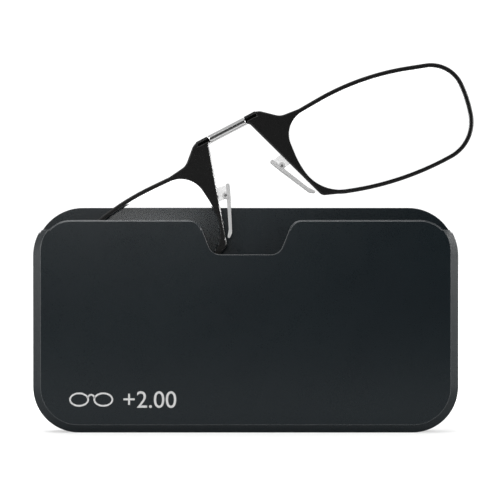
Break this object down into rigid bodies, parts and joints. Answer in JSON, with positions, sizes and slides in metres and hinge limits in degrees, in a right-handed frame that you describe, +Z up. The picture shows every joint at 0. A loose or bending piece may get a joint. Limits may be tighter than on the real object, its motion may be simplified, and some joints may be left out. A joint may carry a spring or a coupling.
{
  "type": "armless reading glasses with stick-on case",
  "caption": "Thin-rimmed armless reading glasses with a sprung metal bridge and swinging clear nose pads, drawn half out of their flat stick-on case with a thumb notch.",
  "frame": {"origin": "middle of the flat long edge that the case stands on, on the middle plane of its pocket", "axes": "+X along the case's long edge to the viewer's right, +Y to the back, where the case sticks to a phone or wall, +Z up out of the pocket's mouth"},
  "size_m": [0.1098, 0.0059, 0.092],
  "materials": {
    "case_shell": "satin black moulded polycarbonate",
    "adhesive_foam": "dark closed-cell foam tape",
    "liner_paper": "waxed release paper",
    "bridge_metal": "polished spring alloy",
    "ferrule_black": "gloss black",
    "rim_black": "semi-gloss black nylon",
    "lens_clear": "clear polished polycarbonate, hard coated",
    "pad_clear": "clear frosted plastic",
    "tab_clear": "clear thin plastic strip",
    "pin_metal": "plain steel pin",
    "case_print": "light grey printed ink"
  },
  "bodies": {
    "pod": {"pod_back_plate": "case_shell", "pod_front_cover": "case_shell", "adhesive_pad": "adhesive_foam", "release_liner": "liner_paper"},
    "left_half": {"left_rim": "rim_black", "left_lens": "lens_clear", "left_wire_ferrule": "ferrule_black", "bridge_wire": "bridge_metal", "left_pad_bracket": "tab_clear", "left_pad_pin": "pin_metal"},
    "right_half": {"right_rim": "rim_black", "right_lens": "lens_clear", "right_wire_ferrule": "ferrule_black", "right_pad_bracket": "tab_clear", "right_pad_pin": "pin_metal"},
    "left_pad": {"left_nose_pad": "pad_clear"},
    "right_pad": {"right_nose_pad": "pad_clear"}
  },
  "joints": [
    {"name": "draw", "type": "slide", "parent": "pod", "child": "left_half", "axis": [0, 0, 1], "range_m": [-0.0165, 0.034]},
    {"name": "bridge_flex", "type": "hinge", "parent": "left_half", "child": "right_half", "pos_m": [-0.00464, 0, 0.07529], "axis": [0, -1, 0], "range_deg": [-40, 12], "stiffness_Nm_per_rad": 0.07, "deforming": ["bridge_wire"]},
    {"name": "left_pad_swing", "type": "hinge", "parent": "left_half", "child": "left_pad", "pos_m": [-0.00497, 0, 0.059], "axis": [0, -1, 0], "range_deg": [-1.2, 8], "stiffness_Nm_per_rad": 0.0003},
    {"name": "right_pad_swing", "type": "hinge", "parent": "right_half", "child": "right_pad", "pos_m": [0.009, 0, 0.06638], "axis": [0, 1, 0], "range_deg": [-1.2, 8], "stiffness_Nm_per_rad": 0.0003}
  ]
}
